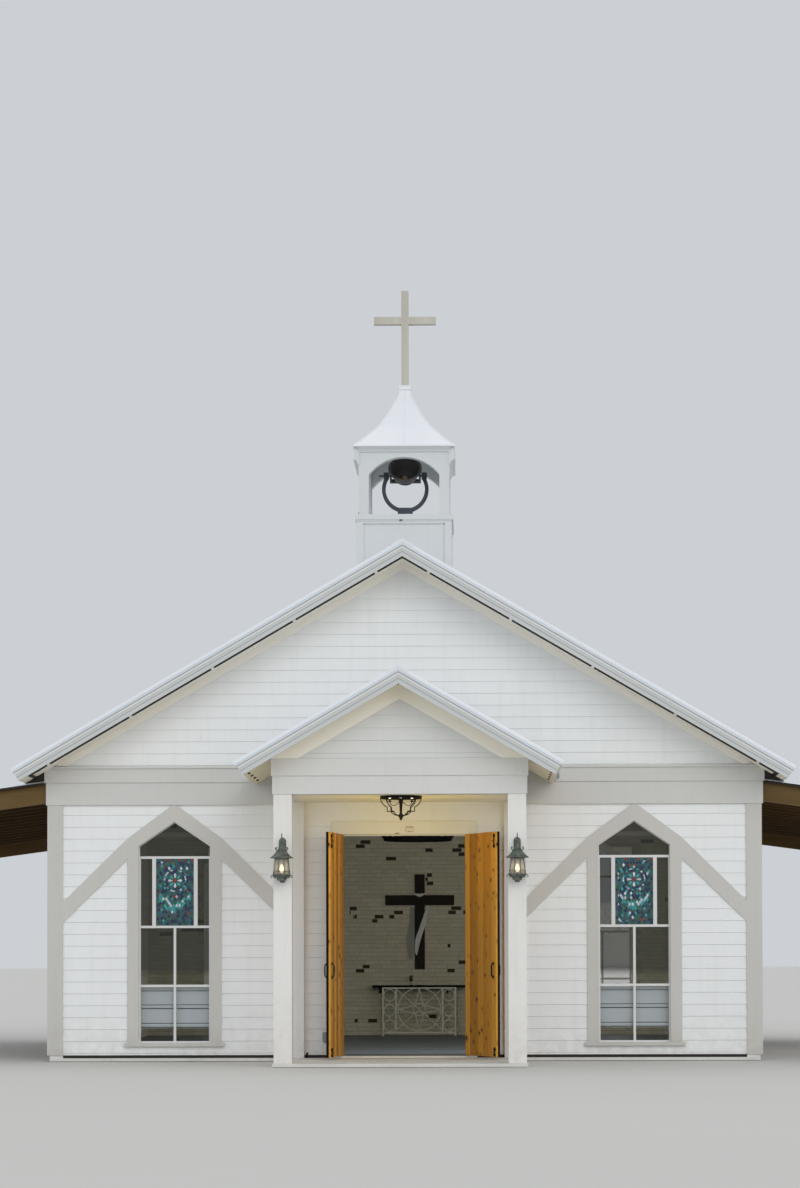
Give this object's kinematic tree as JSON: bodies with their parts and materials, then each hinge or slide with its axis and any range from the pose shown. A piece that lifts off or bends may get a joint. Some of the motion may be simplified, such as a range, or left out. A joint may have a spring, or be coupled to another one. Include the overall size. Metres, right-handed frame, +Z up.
{
  "type": "small timber chapel",
  "caption": "White boarded gabled chapel with a columned front porch, double plank doors, pointed windows, side lean-to roofs and a bell cote with bell and cross on the ridge.",
  "frame": {"origin": "on the ground at the middle of the hall's footprint, on the slab's underside", "axes": "+X to the right seen from the front, +Y into the building (the front faces -Y), +Z up"},
  "size_m": [15.44, 12.142, 10.117],
  "materials": {
    "wall_white": "white painted lap boards",
    "trim_white": "white painted boards",
    "concrete": "trowelled concrete",
    "floor_wood": "grey washed planks",
    "window_glass": "clear glass, dark behind",
    "coloured_glass": "leaded coloured glass",
    "door_wood": "varnished knotty planks",
    "black_iron": "black painted iron",
    "lantern_iron": "verdigris bronze finish",
    "roof_metal": "pale metal roofing",
    "white_iron": "white painted iron",
    "cross_wood": "weathered timber",
    "bell_iron": "dark cast iron",
    "pine": "oiled knotty pine",
    "dark_wood": "dark stained timber",
    "brass_gold": "polished",
    "white_cloth": "soft white cloth"
  },
  "bodies": {
    "building": {"foundation_slab": "concrete", "floor_boards": "floor_wood", "porch_slab": "concrete", "front_wall_left": "wall_white", "front_wall_right": "wall_white", "front_gable": "wall_white", "back_wall": "wall_white", "side_walls": "wall_white", "ceiling": "wall_white", "corner_boards": "trim_white", "front_frieze": "trim_white", "rake_boards": "trim_white", "window_trims": "trim_white", "window_frames": "trim_white", "window_glass": "window_glass", "coloured_glass_panels": "coloured_glass", "window_inner_boards": "trim_white", "door_frame": "trim_white", "porch_posts": "trim_white", "porch_pilasters": "trim_white", "porch_beams": "trim_white", "porch_ceiling": "trim_white", "porch_gable": "wall_white", "porch_roof_boards": "trim_white", "porch_roofing": "roof_metal", "porch_ceiling_light": "black_iron", "lanterns": "lantern_iron", "roof_boards": "trim_white", "metal_roofing": "roof_metal", "ridge_caps": "roof_metal", "bell_cote_base": "trim_white", "bell_cote_sill_cap": "trim_white", "bell_cote_arcade": "trim_white", "bell_cote_roof": "roof_metal", "roof_cross": "cross_wood", "bell_cradle": "bell_iron", "lean_to_beams": "pine", "lean_to_posts": "pine", "lean_to_rafters": "pine", "lean_to_roofs": "roof_metal", "altar_table": "dark_wood", "altar_panel": "white_iron", "goblet": "brass_gold", "wall_cross": "dark_wood", "cross_drape": "white_cloth", "chandelier": "black_iron"},
    "left_leaf": {"left_door": "door_wood", "left_door_ironwork": "black_iron"},
    "right_leaf": {"right_door": "door_wood", "right_door_ironwork": "black_iron"},
    "swinging_bell": {"bell": "bell_iron", "bell_yoke": "bell_iron", "bell_clapper": "bell_iron"}
  },
  "joints": [
    {"name": "left_door_hinge", "type": "hinge", "parent": "building", "child": "left_leaf", "pos_m": [-0.838, -4.614, 1.48], "axis": [0, 0, -1], "range_deg": [-98.8, 40]},
    {"name": "right_door_hinge", "type": "hinge", "parent": "building", "child": "right_leaf", "pos_m": [0.838, -4.614, 1.48], "axis": [0, 0, 1], "range_deg": [-118, 22]},
    {"name": "bell_swing", "type": "hinge", "parent": "building", "child": "swinging_bell", "pos_m": [0, -3.6555, 7.669], "axis": [1, 0, 0], "range_deg": [-30, 160]}
  ]
}
